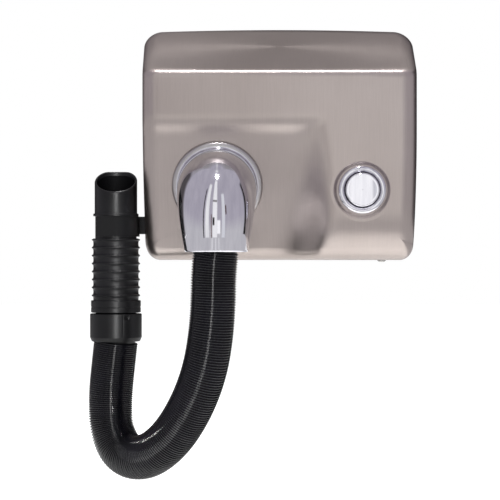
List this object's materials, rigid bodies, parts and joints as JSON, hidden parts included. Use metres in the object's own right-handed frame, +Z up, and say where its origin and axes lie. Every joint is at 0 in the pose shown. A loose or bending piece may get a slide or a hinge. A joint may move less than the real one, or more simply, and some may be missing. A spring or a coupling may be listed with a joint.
{
  "type": "pet dryer",
  "caption": "Wall-mounted hot-air dryer with a pressed metal cover, push button, swivelling outlet elbow, stretch hose and a clipped hand nozzle.",
  "frame": {"origin": "middle of the four wall holes, on the back face of the base plate", "axes": "+X to the right along the wall seen from the room, +Y into the wall, +Z up"},
  "size_m": [0.3293, 0.1897, 0.4568],
  "materials": {
    "brushed_cover": "vertical brushed grain",
    "chrome": "polished",
    "cast_plate": "as cast",
    "black_plastic": "fine grain",
    "hose_plastic": "satin",
    "casing_plastic": "moulded",
    "fan_plastic": "moulded",
    "screw_steel": "zinc plated",
    "turned_steel": "ground",
    "rubber": "matt",
    "laminated_steel": "stacked sheet",
    "copper": "enamelled wire",
    "brass": "bright",
    "carbon": "pressed carbon",
    "bracket_alloy": "die cast",
    "duct_steel": "galvanised sheet",
    "mica": "plain",
    "heating_wire": "drawn",
    "ceramic": "plain",
    "board": "solder mask",
    "switch_plastic": "moulded",
    "terminal_plastic": "moulded",
    "capacitor_can": "sleeved",
    "transformer": "varnished",
    "spring_steel": "drawn"
  },
  "bodies": {
    "housing": {"cover": "brushed_cover", "cover_lock_screws": "screw_steel", "base_plate": "cast_plate", "cable_grommet": "rubber", "earth_screw": "brass", "terminal_block": "terminal_plastic", "terminal_screws": "screw_steel", "fan_casing_back": "casing_plastic", "fan_casing_front": "casing_plastic", "vibration_bushes": "rubber", "fan_casing_screws": "screw_steel", "field_core": "laminated_steel", "field_coils": "copper", "motor_back_bracket": "bracket_alloy", "motor_front_bracket": "bracket_alloy", "ball_bearings": "turned_steel", "motor_tie_screws": "screw_steel", "motor_bracket_screws": "screw_steel", "brush_holders": "brass", "carbon_brushes": "carbon", "heater_duct": "duct_steel", "elbow_retaining_ring": "spring_steel", "duct_screws": "screw_steel", "heater_mica_cross": "mica", "heater_winding": "heating_wire", "thermal_cutout": "ceramic", "button_bezel": "chrome", "button_bezel_nut": "brass", "button_spring": "spring_steel", "microswitch": "switch_plastic", "lever_pin": "turned_steel", "switch_screws": "screw_steel", "switch_bracket": "duct_steel", "bracket_foot_screws": "screw_steel", "timer_board": "board", "board_standoffs": "brass", "board_screws": "screw_steel", "timer_relay": "terminal_plastic", "timer_transformer": "transformer", "timer_capacitor": "capacitor_can", "handle_clip": "black_plastic", "clip_screws": "screw_steel", "hose": "hose_plastic"},
    "rotor": {"fan_wheel": "fan_plastic", "motor_shaft": "turned_steel", "fan_wheel_nut": "screw_steel", "armature_core": "laminated_steel", "armature_windings": "copper", "commutator": "copper"},
    "elbow": {"outlet_elbow": "chrome", "hose_adaptor": "black_plastic"},
    "button": {"button_cap": "chrome", "button_stem": "turned_steel", "button_stem_clip": "spring_steel"},
    "lever": {"switch_lever": "spring_steel"},
    "plunger": {"switch_plunger": "terminal_plastic"},
    "cuff": {"hose_cuff": "black_plastic"},
    "handle": {"nozzle": "chrome", "grip": "black_plastic"}
  },
  "joints": [
    {"name": "fan_spin", "type": "hinge", "parent": "housing", "child": "rotor", "pos_m": [0.034, 0, 0.022], "axis": [0, -1, 0], "continuous": true},
    {"name": "elbow_swivel", "type": "hinge", "parent": "housing", "child": "elbow", "pos_m": [-0.0615, -0.10236, -0.0467], "axis": [0, -0.9703, -0.2419], "range_deg": [-90, 90], "deforming": ["hose"]},
    {"name": "button_press", "type": "slide", "parent": "housing", "child": "button", "axis": [0, 1, 0], "range_m": [0, 0.004], "stiffness_N_per_m": 800, "springref_m": -0.004, "deforming": ["button_spring"]},
    {"name": "lever_turn", "type": "hinge", "parent": "housing", "child": "lever", "pos_m": [0.064, -0.0902, -0.0513], "axis": [0, 0, 1], "range_deg": [0, 12.85]},
    {"name": "plunger_press", "type": "slide", "parent": "housing", "child": "plunger", "axis": [0, 1, 0], "range_m": [0, 0.0015]},
    {"name": "handle_release", "type": "slide", "parent": "housing", "child": "cuff", "axis": [-1, 0, 0], "range_m": [0, 0.06], "deforming": ["hose"]},
    {"name": "handle_swivel", "type": "hinge", "parent": "cuff", "child": "handle", "pos_m": [-0.1632, -0.084, -0.18], "axis": [0, 0, 1], "continuous": true}
  ],
  "couplings": [
    {"joint": "lever_turn", "follows": "button_press", "rad_per_m": 55.627},
    {"joint": "plunger_press", "follows": "button_press", "ratio": 0.3675}
  ]
}
